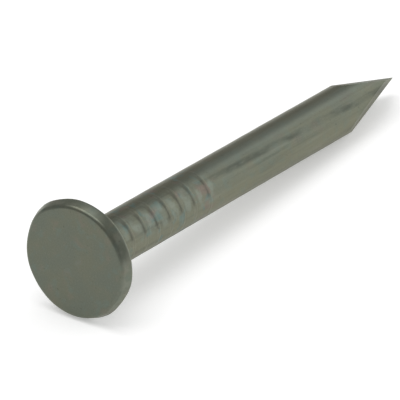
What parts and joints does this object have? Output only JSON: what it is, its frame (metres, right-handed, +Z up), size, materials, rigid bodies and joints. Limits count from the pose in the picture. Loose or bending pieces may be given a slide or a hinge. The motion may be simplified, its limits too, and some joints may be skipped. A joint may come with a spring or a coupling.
{
  "type": "nail",
  "caption": "Stout round wire nail with a broad flat head, gripping marks under the head and a four-sided diamond point.",
  "frame": {"origin": "middle of the bottom of the nail's box as it lies on a floor, which is z = 0", "axes": "+X along the nail from its head towards its point, +Z up from the floor, +Y across the nail to the left of someone looking along +X"},
  "size_m": [0.0412, 0.0088, 0.0087],
  "materials": {
    "zinc_coating": "dull grey-green zinc coating on drawn steel wire, a little lighter on the point's facets"
  },
  "bodies": {
    "root": {"nail": "zinc_coating"}
  },
  "joints": []
}
